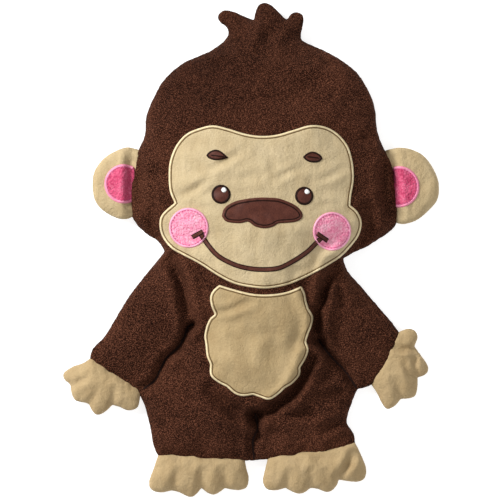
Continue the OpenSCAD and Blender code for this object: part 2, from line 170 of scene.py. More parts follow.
# Soft folds: a route, how deep the valley is and how wide it is
FOLDS = [
    ([(-66, -8), (-58, -29), (-55, -46), (-51, -62)], 5.0, 4.5),
    ([(76, -10), (74, -28), (76, -44)], 3.5, 4.0),
    ([(70, -12), (61, -40), (57, -60), (58, -76)], 6.0, 4.0),
    ([(46, -30), (52, -50), (54, -66), (50, -80)], 3.5, 3.5),
    ([(4, -141), (20, -133), (34, -122), (44, -106), (50, -92)], 6.5, 4.5),
    ([(4, -141), (-8, -137), (-20, -130), (-32, -118)], 4.0, 5.0),
    ([(22, -141), (34, -138), (52, -140)], 3.0, 3.5),
    ([(62, -152), (74, -147), (84, -143)], 3.5, 3.5),
    ([(84, -128), (74, -122), (62, -124)], 2.5, 4.0),
    ([(-97, 84), (-94, 56), (-96, 30)], 2.0, 4.0),
    ([(116, 84), (112, 60), (116, 34)], 2.0, 4.0),
    ([(100, 96), (92, 92), (84, 98)], 2.0, 4.0),
    ([(-78, 6), (-84, 24), (-86, 40)], 2.0, 5.0),
    ([(84, -4), (98, 14), (100, 34)], 2.5, 5.0),
    ([(20, 192), (14, 178), (12, 166)], 1.6, 5.0),
    ([(-14, 190), (-4, 178), (0, 168)], 1.6, 5.0),
]


# ---------- curves

TINY = 1e-9  # keeps divisions away from zero
THREAD_STEP = 1.5  # spacing of points along lines of thread


def curve(points, step):
    """Points along the smooth curve through the given ones, which it keeps, about `step` apart."""
    p = np.array([points[0], *points, points[-1]], float)
    out = []
    for i in range(1, len(p) - 2):
        a, b, c, d = p[i - 1 : i + 3]
        count = max(1, round(np.linalg.norm(c - b) / step))
        for t in np.arange(count) / count:
            out.append(
                0.5 * (2 * b + (c - a) * t + (2 * a - 5 * b + 4 * c - d) * t**2
                       + (3 * b - a - 3 * c + d) * t**3)
            )
    return np.array([*out, p[-2]])


def loop(stretches, step):
    """One closed outline from stretches that end where the next begins."""
    return np.concatenate([curve(s, step)[:-1] for s in stretches])


def circle(middle, radius, step):
    """Points round a circle, clockwise from above."""
    count = max(12, round(2 * math.pi * radius / step))
    a = -2 * np.pi * np.arange(count) / count
    return np.array(middle) + radius * np.stack([np.cos(a), np.sin(a)], 1)


def spaced(line, step, closed):
    """The line again, with points at an even spacing."""
    whole = np.vstack([line, line[:1]]) if closed else line
    along = np.concatenate([[0], np.cumsum(np.linalg.norm(np.diff(whole, axis=0), axis=1))])
    count = max(3, round(along[-1] / step))
    at = np.linspace(0, along[-1], count + 1)
    out = np.stack([np.interp(at, along, whole[:, k]) for k in range(2)], 1)
    return out[:-1] if closed else out


def normals_of(line, closed):
    """Unit vectors to the right of a line, at each of its points."""
    if closed:
        way = np.roll(line, -1, 0) - np.roll(line, 1, 0)
    else:
        way = np.gradient(line, axis=0)
    way /= np.linalg.norm(way, axis=1)[:, None]
    return np.stack([way[:, 1], -way[:, 0]], 1)


def inset(outline, by):
    """The outline moved inwards, for lines that run beside an edge."""
    line = spaced(outline, THREAD_STEP, True)
    return line + normals_of(line, True) * by


def line_distance(points, line, closed=False):
    """Distance from each point to a line of straight stretches."""
    starts = line if closed else line[:-1]
    ends = np.roll(line, -1, 0) if closed else line[1:]
    best = np.full(len(points), np.inf)
    for start, end in zip(starts, ends):
        way = end - start
        t = np.clip((points - start) @ way / max(way @ way, TINY), 0, 1)
        best = np.minimum(best, np.linalg.norm(points - start - t[:, None] * way, axis=1))
    return best


def ends_and_side(line):
    """The ends of a straight line, and the unit vector to its right, which is its flap's side."""
    a, b = (np.array(p, float) for p in line)
    way = (b - a) / np.linalg.norm(b - a)
    return a, b, np.array([way[1], -way[0]])


def side_distance(points, line):
    """How far points lie to the right of a straight line."""
    start, _, side = ends_and_side(line)
    return (points - start) @ side


def inside(points, outline):
    x, y = points.T
    found = np.zeros(len(points), bool)
    for (ax, ay), (bx, by) in zip(outline, np.roll(outline, -1, 0)):
        crosses = (ay > y) != (by > y)
        if ay != by:
            found ^= crosses & (x < (bx - ax) * (y - ay) / (by - ay) + ax)
    return found


def smooth_step(x):
    t = np.clip(x, 0, 1)
    return t * t * (3 - 2 * t)


def bell(away, wide):
    """1 at no distance, falling off smoothly over about the given width."""
    return np.exp(-((away / wide) ** 2))


def rough(points, size, seed):
    """Smooth noise of about -1 to 1, with lumps of the given size."""
    return np.array([noise.noise(Vector((x / size, y / size, seed))) for x, y in points])


# ---------- flat cut pieces of cloth

TRIANGLE_ROW = 0.866  # height of an even triangle, as a share of its side
EDGE_CLEAR = 0.55  # how near the grid comes to the outline, as a share of its spacing
SEAM_CLEAR = 0.5  # the same for the seams
SAME_POINT = 0.05
ON_LINE = 1e-3
MERGE = 1e-5
FILM_ROUNDS = 600
FILM_CLOSE = 1e-7


def grid_inside(outline, seams, spacing):
    """Evenly spaced points inside an outline, clear of its edge and of the seams."""
    low, high = outline.min(0), outline.max(0)
    rows = np.arange(low[1], high[1], spacing * TRIANGLE_ROW)
    grid = np.array(
        [(x + (k % 2) * spacing / 2, y)
         for k, y in enumerate(rows) for x in np.arange(low[0], high[0], spacing)]
    )
    keep = inside(grid, outline) & (line_distance(grid, outline, True) > spacing * EDGE_CLEAR)
    for seam in seams:
        keep &= line_distance(grid, seam) > spacing * SEAM_CLEAR
    return grid[keep]


class Cut:
    """A flat piece of cloth as triangles, with edges along its outline and its seams."""

    def __init__(self, outline, spacing, seams=()):
        count = len(outline)
        points = list(map(tuple, outline))
        edges = [(i, (i + 1) % count) for i in range(count)]
        for seam in seams:
            numbers = []
            for p in seam:
                near = np.linalg.norm(outline - p, axis=1)
                if near.min() < SAME_POINT:
                    numbers.append(int(near.argmin()))
                else:
                    numbers.append(len(points))
                    points.append(tuple(p))
            edges += list(zip(numbers[:-1], numbers[1:]))
        points += list(map(tuple, grid_inside(outline, seams, spacing)))
        made = delaunay_2d_cdt([Vector(p) for p in points], edges, [list(range(count))], 1, MERGE)
        self.points = np.array([tuple(p) for p in made[0]])
        self.faces = np.array([list(f) for f in made[2] if len(f) == 3])
        corners = self.points[self.faces]
        turn = np.cross(corners[:, 1] - corners[:, 0], corners[:, 2] - corners[:, 0])
        self.faces[turn < 0] = self.faces[turn < 0][:, ::-1]
        self.from_edge = line_distance(self.points, outline, True)
        self.edge = self.from_edge < ON_LINE
        pairs = np.concatenate([self.faces[:, [0, 1]], self.faces[:, [1, 2]], self.faces[:, [2, 0]]])
        self.pairs = np.unique(np.sort(pairs, 1), axis=0)

    def on_line(self, line):
        return line_distance(self.points, line) < ON_LINE

    def film(self, values, held):
        """Heights of an inflated soap film whose held points keep their values."""
        a, b = self.pairs.T
        count = np.bincount(self.pairs.ravel(), minlength=len(values)).astype(float)
        free = ~held

        def flow(v):
            out = count * v
            np.subtract.at(out, a, v[b])
            np.subtract.at(out, b, v[a])
            return out * free

        x = values.astype(float).copy()
        rest = free - flow(x)
        rest[held] = 0
        way, size = rest.copy(), rest @ rest
        for _ in range(FILM_ROUNDS):
            push = flow(way)
            share = size / max(way @ push, TINY)
            x += share * way
            rest -= share * push
            new = rest @ rest
            if new < FILM_CLOSE:
                break
            way = rest + new / size * way
            size = new
        return x


CREASE_FADE = 14.0  # how far from its ends a crease gets its full depth
CREASE_END = 0.35  # depth at the ends, as a share
LIP_HIGH = 0.5  # the swelling beside a crease, as a share of the crease's depth
LIP_AWAY = 2.1  # how far off that is, as a share of the crease's width


def crease_depth(points, folds):
    depth = np.zeros(len(points))
    for route, deep, wide in folds:
        line = curve(route, 3)
        away = line_distance(points, line)
        from_ends = np.minimum(*(np.linalg.norm(points - end, axis=1) for end in (line[0], line[-1])))
        full = smooth_step(from_ends / CREASE_FADE)
        depth += deep * bell(away, wide) * (CREASE_END + (1 - CREASE_END) * full)
        depth -= LIP_HIGH * deep * bell(away - LIP_AWAY * wide, wide) * full
    return depth


# ---------- meshes

SEAM_CREASE = 0.8  # keeps the sewn edge of a cushion from rounding off
FLOOR_CLEAR = 0.1
NAP_FROM = 2.0  # height above the floor where the pile reaches its full unevenness
RAY_FROM = 0.2  # metres, above everything
UPWARD = 0.02  # least slope of a face that counts as facing up
CLOTH = {
    "quality": 6, "mass": 0.12, "tension_stiffness": 20, "compression_stiffness": 10,
    "shear_stiffness": 6, "bending_stiffness": 0.25, "use_pressure": True, "shrink_min": -0.02,
}


def row(x, y, z=SEAM_Z):
    """A drawing point in the row frame, in metres."""
    return tuple(float(v) for v in (np.array([x, y, z]) + SHIFT) * MM)


def add_object(name, mesh):
    obj = bpy.data.objects.new(name, mesh)
    bpy.context.scene.collection.objects.link(obj)
    return obj


def mesh_object(name, points, faces, materials):
    mesh = bpy.data.meshes.new(name)
    mesh.from_pydata(((np.array(points) + SHIFT) * MM).tolist(), [], [list(map(int, f)) for f in faces])
    mesh.update()
    for material in materials:
        mesh.materials.append(material)
    mesh.shade_smooth()
    return add_object(name, mesh)


def points_of(mesh):
    out = np.empty(len(mesh.vertices) * 3)
    mesh.vertices.foreach_get("co", out)
    return out.reshape(-1, 3) / MM - SHIFT


def move_points(mesh, points):
    mesh.vertices.foreach_set("co", ((points + SHIFT) * MM).ravel())
    mesh.update()


def pillow(cut, front, back):
    """Points and faces of a closed cushion: two layers of the same cut, sewn along its edge."""
    count = len(cut.points)
    back_number = np.full(count, -1)
    back_number[~cut.edge] = count + np.arange((~cut.edge).sum())
    back_number[cut.edge] = np.flatnonzero(cut.edge)
    top = np.column_stack([cut.points, front])
    bottom = np.column_stack([cut.points, back])[~cut.edge]
    faces = np.concatenate([cut.faces, back_number[cut.faces][:, ::-1]])
    return np.concatenate([top, bottom]), faces, back_number


def simulate(obj, held, pressure, cap, frames):
    """Points of a closed cushion once its cloth has swollen and puckered, each moved at most `cap`."""
    rest = points_of(obj.data)
    group = obj.vertex_groups.new(name="held")
    group.add([int(i) for i in held], 1.0, "REPLACE")
    cloth = obj.modifiers.new("Cloth", "CLOTH")
    for key, value in CLOTH.items():
        setattr(cloth.settings, key, value)
    cloth.settings.vertex_group_mass = group.name
    cloth.settings.uniform_pressure_force = pressure
    cloth.settings.effector_weights.gravity = 0
    scene = bpy.context.scene
    cloth.point_cache.frame_start = 1
    cloth.point_cache.frame_end = frames
    for number in range(1, frames + 1):
        scene.frame_set(number)
    shown = obj.evaluated_get(bpy.context.evaluated_depsgraph_get())
    moved = points_of(shown.data)
    scene.frame_set(1)
    obj.modifiers.remove(cloth)
    obj.vertex_groups.clear()
    step = moved - rest
    length = np.linalg.norm(step, axis=1)
    step *= (np.minimum(length, cap) / np.maximum(length, TINY))[:, None]
    return rest + step


def crease_seam(mesh):
    """Sharpens the edge where the front half of a cushion's faces meets the back half."""
    half = len(mesh.polygons) // 2
    sides = {}
    for polygon in mesh.polygons:
        for key in polygon.edge_keys:
            sides.setdefault(key, set()).add(polygon.index < half)
    crease = mesh.attributes.new("crease_edge", "FLOAT", "EDGE")
    crease.data.foreach_set("value", [SEAM_CREASE * (len(sides[e.key]) > 1) for e in mesh.edges])


def swollen(cushion, held, pressure, cap, frames):
    """The mesh of a cushion after its simulation and one level of subdivision."""
    moved = simulate(cushion, held, pressure, cap, frames)
    moved[:, 2] = np.maximum(moved[:, 2], FLOOR_CLEAR)
    move_points(cushion.data, moved)
    crease_seam(cushion.data)
    cushion.modifiers.new("Subdivision", "SUBSURF").levels = 1
    shown = cushion.evaluated_get(bpy.context.evaluated_depsgraph_get())
    mesh = bpy.data.meshes.new_from_object(shown)
    bpy.data.objects.remove(cushion)
    return mesh


def nap(mesh, deep, size):
    """Real unevenness of the pile, along the mesh's normals."""
    points = points_of(mesh)
    normals = np.array([v.normal for v in mesh.vertices])
    lift = np.array([noise.noise(Vector(p / size)) for p in points]) * deep
    lift *= smooth_step(points[:, 2] / NAP_FROM)
    move_points(mesh, points + normals * lift[:, None])


def tree_of(mesh):
    """A tree of the mesh's upward faces, in metres."""
    bm = bmesh.new()
    bm.from_mesh(mesh)
    bmesh.ops.delete(bm, geom=[f for f in bm.faces if f.normal.z < UPWARD], context="FACES")
    tree = BVHTree.FromBMesh(bm)
    bm.free()
    return tree


# The upward faces of what is already made, for laying more cloth and thread on it
LAID = []


def top_of(points, trees):
    """Height of the highest surface under each point."""
    out = np.full(len(points), SEAM_Z)
    for k, (x, y) in enumerate(points[:, :2]):
        origin = Vector((*row(x, y)[:2], RAY_FROM))
        hits = [t.ray_cast(origin, Vector((0, 0, -1)))[0] for t in trees]
        found = [h.z / MM for h in hits if h is not None]
        if found:
            out[k] = max(found)
    return out


# ---------- materials


def set_inputs(node, inputs):
    """Sets a node's named inputs to values, or links them to outputs of other nodes."""
    for key, value in inputs.items():
        if isinstance(value, bpy.types.NodeSocket):
            node.id_data.links.new(value, node.inputs[key])
        else:
            node.inputs[key].default_value = value


def new_material(name):
    """A material and its shader node."""
    material = bpy.data.materials.new(name)
    material.use_nodes = True
    return material, material.node_tree.nodes["Principled BSDF"]


def linear(color, light=(1, 1, 1)):
    """A screen colour from 0 to 255 as the shader's own linear numbers, times a tint of painted light and
    shade.
    """
    return tuple(
        tint * (c / 12.92 if c <= 0.04045 else ((c + 0.055) / 1.055) ** 2.4)
        for tint, c in zip(light, (part / 255 for part in color))
    )


class Surface:
    """A procedural material under construction, in metres of object space."""

    def __init__(self, name, roughness, sheen, sheen_tint, specular):
        self.material, self.shader = new_material(name)
        set_inputs(self.shader, {
            "Roughness": roughness, "Sheen Weight": sheen, "Sheen Tint": (*linear(sheen_tint), 1),
            "Sheen Roughness": 0.45, "Specular IOR Level": specular,
        })
        self.place = self.add("TexCoord", {}).outputs["Object"]

    def add(self, kind, inputs, **settings):
        node = self.material.node_tree.nodes.new(f"ShaderNode{kind}")
        for key, value in settings.items():
            setattr(node, key, value)
        set_inputs(node, inputs)
        return node

    def stretched(self, along, turn):
        """Object coordinates for grain that runs one way: turned about Z and scaled along it."""
        inputs = {"Vector": self.place, "Rotation": (0, 0, turn), "Scale": (1, along, 1)}
        return self.add("Mapping", inputs).outputs[0]

    def noise(self, lump_mm, detail=2.0, where=None, roughness=0.5):
        """Noise with lumps of about this many millimetres, from 0 to 1."""
        inputs = {"Vector": where or self.place, "Scale": 1 / (lump_mm * MM), "Detail": detail,
                  "Roughness": roughness}
        return self.add("TexNoise", inputs).outputs["Fac"]

    def tufts(self, size_mm):
        inputs = {"Vector": self.place, "Scale": 1 / (size_mm * MM)}
        return self.add("TexVoronoi", inputs).outputs["Distance"]

    def ramp(self, value, low, high, colors, light=(1, 1, 1)):
        """Screen colours spread evenly over the value's range from low to high."""
        node = self.add("ValToRGB", {"Fac": value})
        stops = node.color_ramp.elements
        while len(stops) < len(colors):
            stops.new(0.5)
        for k, c in enumerate(colors):
            stops[k].position = low + (high - low) * k / (len(colors) - 1)
            stops[k].color = (*linear(c, light), 1)
        return node.outputs["Color"]

    def mixed(self, a, b, share):
        return self.add("Mix", {"Factor": share, "A": a, "B": b}, data_type="RGBA").outputs["Result"]

    def toned(self, color, place, reach_mm, light):
        """The colour made lighter or darker around a place, fading out at its reach."""
        away = self.add("VectorMath", {0: self.place, 1: row(*place)}, operation="DISTANCE")
        share = self.add("MapRange", {
            "Value": away.outputs["Value"], "From Max": reach_mm * MM, "To Min": light, "To Max": 1,
        }, interpolation_type="SMOOTHSTEP")
        inputs = {0: color, "Scale": share.outputs["Result"]}
        return self.add("VectorMath", inputs, operation="SCALE").outputs["Vector"]

    def finish(self, color, relief, strength, depth_mm):
        """Sets the colour, and bumps from a list of height outputs of equal weight."""
        total = relief[0]
        for more in relief[1:]:
            total = self.add("Math", {0: total, 1: more}, operation="ADD").outputs[0]
        inputs = {"Strength": strength, "Distance": depth_mm * MM, "Height": total}
        bump = self.add("Bump", inputs)
        set_inputs(self.shader, {"Base Color": color, "Normal": bump.outputs["Normal"]})
        return self.material


# Where the pile is brushed another way, with its sheen and shade painted into the colour: a place, its
# reach and how light it looks
PILE_SHEEN_AND_SHADE = [
    ((-38, 150), 85, 0.55),
    ((8, 195), 40, 0.75),
    ((70, 135), 60, 1.15),
    ((-50, -45), 40, 1.35),
    ((-8, -134), 34, 0.60),
    ((45, -158), 55, 1.25),
]


def fleece():
    """Short brown pile: dark between the tufts, redder on their tips, in soft patches, with painted sheen
    and shade where it is brushed another way.
    """
    s = Surface("brown_fleece", 0.92, 0.03, (200, 130, 100), 0.04)
    tips = s.ramp(s.noise(0.82, 2.0, None, 0.55), 0.37, 0.63, [(8, 3, 2), (49, 26, 17), (122, 76, 56)])
    patches = s.ramp(s.noise(30, 3.0), 0.36, 0.64, [(36, 18, 11), (60, 33, 22), (80, 46, 32)])
    color = s.mixed(tips, patches, 0.3)
    # Paints sheen and shade onto the pile, patch by patch
    for place, reach, light in PILE_SHEEN_AND_SHADE:
        color = s.toned(color, place, reach, light)
    return s.finish(color, [s.noise(0.95), s.tufts(1.3), s.noise(3.4)], 1.0, 0.8)


def velour(name, turn, light):
    """Brushed tan cloth: a fine nap, faint cloudy shading and a slight lay along the cloth, under a tint
    of painted light and shade.
    """
    s = Surface(name, 0.88, 0.1, (250, 235, 205), 0.2)
    fine = s.ramp(s.noise(1.1, 3.0, None, 0.6), 0.3, 0.7,
                  [(178, 155, 113), (200, 178, 134), (216, 196, 152)], light)
    clouds = s.ramp(s.noise(19, 3.0), 0.32, 0.68,
                    [(186, 162, 118), (204, 182, 137), (216, 194, 150)], light)
    lay = s.ramp(s.noise(9, 2.0, s.stretched(0.16, turn)), 0.35, 0.65,
                 [(190, 166, 122), (212, 190, 146)], light)
    color = s.mixed(s.mixed(fine, clouds, 0.5), lay, 0.3)
    wrinkles = s.noise(9, 2.0, s.stretched(0.3, turn))
    return s.finish(color, [s.noise(0.8, 3.0), s.noise(2.4), wrinkles, wrinkles], 0.7, 1.0)


def plush(name, *colors):
    """Longer, clumpy pile, in colours from dark to light."""
    s = Surface(name, 0.9, 0.35, colors[-1], 0.15)
    tips = s.ramp(s.noise(1.6, 3.0, None, 0.65), 0.28, 0.72, colors)
    clouds = s.ramp(s.noise(7), 0.3, 0.7, colors)
    return s.finish(s.mixed(tips, clouds, 0.35), [s.noise(1.3, 3.0), s.tufts(1.9)], 0.8, 0.9)


def satin(name, dark, light, sheen=0.0, shine=0.4):
    """Embroidery thread, with the lustre of its strands."""
    s = Surface(name, 0.55, sheen, light, shine)
    strands = s.ramp(s.noise(0.5, 2.0, s.stretched(0.35, 0.8)), 0.3, 0.7, [dark, light])
    worn = s.ramp(s.noise(5), 0.3, 0.7, [dark, light])
    return s.finish(s.mixed(strands, worn, 0.4), [s.noise(0.45)], 0.4, 0.2)


FLEECE = fleece()
# Copies of one velour under different tints of painted shade: darker on the paws and belly than on the
# face, as the light fell
PAW_VELOUR = velour("paw_velour", 0.5, (0.76, 0.71, 0.69))
EAR_VELOUR = velour("ear_velour", 0.9, (0.86, 0.85, 0.88))
FACE_VELOUR = velour("face_velour", 1.1, (0.92, 0.94, 1.03))
BELLY_VELOUR = velour("belly_velour", 0.1, (0.72, 0.68, 0.65))
CHEEK_PLUSH = plush("pink_plush", (214, 96, 134), (240, 148, 176), (250, 204, 216))
EAR_PLUSH = plush("hot_pink_plush", (165, 42, 78), (208, 80, 116), (234, 132, 160))
CREAM_THREAD = satin("cream_thread", (206, 184, 140), (236, 220, 182), shine=0.2)
BROWN_SATIN = satin("brown_satin", (58, 25, 18), (97, 52, 39), shine=0.2)
# Dark thread for the rims of the eyes, brows, nose and smile; along the topstitching the same near-black
# is painted groove shade
DARK_THREAD_AND_GROOVE_SHADE = satin("dark_thread_and_groove_shade", (18, 8, 6), (46, 24, 17), shine=0.1)
OLIVE_THREAD = satin("olive_thread", (84, 64, 38), (126, 102, 66), shine=0.1)
ROSE_THREAD = satin("rose_thread", (176, 62, 112), (222, 112, 158), 0.1)
EAR_THREAD = satin("ear_thread", (226, 110, 150), (246, 164, 190))
PALE_PINK_THREAD = satin("pale_pink_thread", (232, 140, 174), (248, 184, 206))
WHITE_THREAD = satin("white_thread", (238, 238, 234), (255, 255, 252), 0.1)


# ---------- how pieces move


def ride_head(piece):
    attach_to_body(piece, "head")


def ride_torso(piece):
    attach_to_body(piece, "torso")


def fold_neck(piece):
    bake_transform(piece)


def fold_hips(piece):
    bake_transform(piece)


def folding():
    """How a piece over a fold line is held: its place is baked into its mesh."""
    return lambda piece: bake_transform(piece)


def attach(piece, hold, slot, *nodes):
    """Applies a piece's hold, and hides the CAD nodes it stands for. Its slot is not used."""
    hold(piece)
    if nodes:
        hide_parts(*nodes)


# ---------- the fleece body

CLOTH_STEP = 3.4
BODY_HIGH = 31.0  # height of the padding above the side seams
ROUNDING = 0.55  # turns a film's height into a cushion's fuller profile
STITCH_KEEP = 0.05  # share of the padding's height that is left under topstitching
CLOTH_THICK = 1.5
BACK_CLEAR = 0.15
RESTING = 0.5  # cloth lower than this lies on the floor and stays there
# Lumps of the cloth: their height, their size and a seed
BODY_LUMPS = [(1.6, 34, 3.1), (0.8, 14, 7.7)]
PUCKER_SIZE = 7
PUCKER_REACH = 8
CORE, RIGHT_ARM, LEFT_ARM, LEGS = range(4)
ARM_LOW_Y = -125
ARM_FROM_X = 80
FOLD_AGAIN = 0.6  # share of each fold that is pressed in again after the simulation
VALLEY = (5.5, 2.2)  # depth and width of the valley along topstitching
VALLEY_LIP = (2.0, 4.0, 7)  # height, width and distance of the swelling beside it


def body_cut(stitches):
    roots = [curve([SHOULDER[side], ARMPIT[side]], CLOTH_STEP) for side in SIDES]
    hips = curve([(-88, HIP_Y), (4, HIP_Y), (83, HIP_Y)], CLOTH_STEP)
    return Cut(loop(SILHOUETTE, CLOTH_STEP), CLOTH_STEP, [*stitches, *roots, hips])


def body_heights(cut, on_stitch):
    """Heights of the front and back fleece over the flat cut."""
    free = cut.film(np.zeros(len(cut.points)), cut.edge)
    film = cut.film(np.where(on_stitch, STITCH_KEEP * free, 0), cut.edge | on_stitch)
    full = np.maximum(film / film.max(), 0) ** ROUNDING
    front = SEAM_Z + BODY_HIGH * full
    front -= crease_depth(cut.points, FOLDS) * smooth_step(full / 0.35)
    for high, size, seed in BODY_LUMPS:
        front += high * rough(cut.points, size, seed) * smooth_step(full / 0.5)
    pucker = rough(cut.points, PUCKER_SIZE, 5.0) * np.exp(-cut.from_edge / PUCKER_REACH) * ~cut.edge
    front += pucker
    back = SEAM_Z * (1 - smooth_step(1.9 * np.maximum(free / free.max(), 0) ** 0.5))
    back -= 0.8 * pucker * (full < 0.3)
    back = np.where(cut.edge, SEAM_Z, np.minimum(back, front - CLOTH_THICK))
    return np.where(cut.edge, SEAM_Z, front), np.maximum(back, BACK_CLEAR)


def region_of(cut):
    """Which region each triangle of the cut belongs to."""
    middle = cut.points[cut.faces].mean(1)
    x, y = middle.T
    region = np.full(len(middle), CORE)
    at_arms = (y < NECK_Y) & (y > ARM_LOW_Y) & (abs(x) > ARM_FROM_X)
    for side, number in (("right", RIGHT_ARM), ("left", LEFT_ARM)):
        region[at_arms & (side_distance(middle, ARM_ROOT[side]) > 0)] = number
    region[y < HIP_Y] = LEGS
    return region


def make_body():
    """The mesh of the whole fleece body, whose material numbers say the region of each face."""
    stitches = [curve(p, CLOTH_STEP) for p in (*ARM_STITCHES.values(), LEG_STITCHES)]
    cut = body_cut(stitches)
    on_stitch = np.any([cut.on_line(line) for line in stitches], axis=0)
    front, back = body_heights(cut, on_stitch)
    points, faces, back_number = pillow(cut, front, back)
    whole = mesh_object("body_whole", points, faces, [FLEECE] * 4)
    whole.data.polygons.foreach_set("material_index", np.tile(region_of(cut), 2).astype(np.int32))
    held = np.unique(np.concatenate([
        np.flatnonzero(cut.edge | on_stitch), back_number[on_stitch], back_number[back < RESTING],
    ]))
    mesh = swollen(whole, held, 2.2, 5.0, 16)
    points = points_of(mesh)
    flat, height = points[:, :2], points[:, 2]
    above = smooth_step((height - SEAM_Z) / 8)
    drop = FOLD_AGAIN * crease_depth(flat, FOLDS)
    deep, wide = VALLEY
    lip_high, lip_wide, lip_away = VALLEY_LIP
    for line in stitches:
        away = line_distance(flat, line)
        drop += deep * bell(away, wide) - lip_high * bell(away - lip_away, lip_wide)
    points[:, 2] -= above * drop
    move_points(mesh, points)
    nap(mesh, 0.35, 2.6)
    return mesh


def part_of(mesh, name, region, normals):
    """One region of the body as a closed piece, walled off along its fold lines."""
    bm = bmesh.new()
    bm.from_mesh(mesh)
    number_in_whole = bm.verts.layers.int.new("whole")
    for v in bm.verts:
        v[number_in_whole] = v.index
    bmesh.ops.delete(bm, geom=[f for f in bm.faces if f.material_index != region], context="FACES")
    rim = [e for e in bm.edges if len(e.link_faces) == 1]
    walls = bmesh.ops.holes_fill(bm, edges=rim, sides=0)["faces"]
    walls = set(bmesh.ops.triangulate(bm, faces=walls)["faces"])
    is_wall = [f in walls for f in bm.faces]
    numbers = [v[number_in_whole] for v in bm.verts]
    for face, wall in zip(bm.faces, is_wall):
        face.material_index = 0
        face.smooth = not wall
    out = bpy.data.meshes.new(name)
    bm.to_mesh(out)
    bm.free()
    out.materials.clear()
    out.materials.append(FLEECE)
    at_corners = []
    for polygon, wall in zip(out.polygons, is_wall):
        for v in polygon.vertices:
            at_corners.append(tuple(polygon.normal) if wall else tuple(normals[numbers[v]]))
    out.normals_split_custom_set(at_corners)
    return add_object(name, out)


def part_body():
    """Parts the body at its fold lines into four pieces."""
    mesh = make_body()
    LAID.append(tree_of(mesh))
    normals = [v.normal.copy() for v in mesh.vertices]
    right_root, left_root = (
        folding() for side in SIDES
    )
    for region, name, hold, parts in (
        (CORE, "head_and_torso_fleece", fold_neck, ("torso", "head")),
        (RIGHT_ARM, "right_sleeve", right_root, ("right_arm",)),
        (LEFT_ARM, "left_sleeve", left_root, ("left_arm",)),
        (LEGS, "legs_fleece", fold_hips, ("right_leg", "left_leg")),
    ):
        piece = part_of(mesh, name, region, normals)
        nodes = [f"{part}_{layer}" for part in parts for layer in ("front", "back", "stuffing")]
        attach(piece, hold, "fleece_brown", *nodes)


part_body()


# ---------- hands, feet and ears

FLAP_STEP = 3.0
FLAP_GROWTH = 0.7  # makes up for what the edge loses when the cushion swells
SEAM_LOWEST = 3.5
FLAP_CLOTH = 1.2
FLAP_BACK_CLEAR = 0.25
FLAP_RESTING = 0.6
FLAP_KINDS = {
    # outlines, root lines, height of the padding, droop of the edge per millimetre, cloth, parent
    "hand": (HANDS, CUFF, 6.5, 0.16, PAW_VELOUR, "{side}_arm"),
    "foot": (FEET, ANKLE, 7.0, 0.16, PAW_VELOUR, "legs"),
    "ear": (EARS, EAR_ROOT, 5.5, 0.07, EAR_VELOUR, "head"),
}
FLAP_FOLDS = {
    "right_hand": [
        ([(-118, -131), (-116, -124), (-115, -118)], 2.6, 2.4),
        ([(-137, -131), (-133, -124), (-130, -118)], 2.4, 2.4),
        ([(-152, -115), (-144, -111), (-138, -108)], 2.6, 2.4),
    ],
    "left_hand": [
        ([(141, -83), (133, -84), (124, -82)], 5.5, 2.2),
        ([(142, -108), (136, -104), (134, -96)], 3.3, 3.0),
        ([(128, -126), (126, -118), (124, -112)], 3.0, 3.0),
        ([(139, -85), (140, -96), (142, -107)], 4.6, 2.0),
    ],
    "right_foot": [
        ([(-22, -202), (-22, -195), (-23, -188)], 3.3, 3.2),
        ([(-42, -202), (-41, -195), (-40, -189)], 3.3, 3.2),
        ([(-67, -204), (-64, -197), (-61, -190)], 2.7, 3.2),
    ],
    "left_foot": [
        ([(88, -172), (83, -182), (76, -193)], 4.5, 3.0),
        ([(51, -202), (52, -195), (52, -189)], 3.0, 3.0),
        ([(30, -202), (32, -196), (34, -190)], 3.0, 3.0),
    ],
    "right_ear": [([(-101, 32), (-102, 56), (-101, 84)], 4.0, 3.5)],
    "left_ear": [([(124, 30), (123, 54), (120, 80)], 4.0, 3.5)],
}


def make_flap(name, material, outline, root, high, droop, folds):
    """A thin cushion beyond a root line, whose edge droops towards the floor."""
    flat = loop(outline, FLAP_STEP)
    flat -= FLAP_GROWTH * normals_of(flat, True)
    cut = Cut(flat, FLAP_STEP)
    film = cut.film(np.zeros(len(cut.points)), cut.edge)
    full = (np.maximum(film, 0) / film.max()) ** 0.5
    seam = np.maximum(SEAM_Z - droop * np.maximum(side_distance(cut.points, root), 0), SEAM_LOWEST)
    front = seam + high * full - crease_depth(cut.points, folds) * smooth_step(full / 0.4)
    front += 0.5 * rough(cut.points, 11, len(name)) * ~cut.edge
    front = np.where(cut.edge, seam, np.maximum(front, seam + 0.4))
    back = np.maximum(seam - 0.9 * high * full, FLAP_BACK_CLEAR)
    points, faces, back_number = pillow(cut, front, np.minimum(back, front - FLAP_CLOTH))
    cushion = mesh_object(name, points, faces, [material])
    held = np.unique(np.concatenate([np.flatnonzero(cut.edge), back_number[back < FLAP_RESTING]]))
    mesh = swollen(cushion, held, 2.0, 2.0, 12)
    nap(mesh, 0.18, 1.9)
    mesh.shade_smooth()
    return add_object(name, mesh)


def make_flaps():
    """Makes all six flaps, and returns a tree of each one's upward faces."""
    trees = {}
    for name, folds in FLAP_FOLDS.items():
        side, part = name.split("_")
        outlines, roots, high, droop, material, parent = FLAP_KINDS[part]
        flap = make_flap(f"{name}_velour", material, outlines[side], roots[side], high, droop, folds)
        trees[name] = tree_of(flap.data)
        layers = ("front", "back") if part == "ear" else ("front", "back", "wadding")
        hold = folding()
        attach(flap, hold, "velour_tan", *[f"{name}_{layer}" for layer in layers])
    return trees


FLAP_TREES = make_flaps()


# ---------- patches and threads

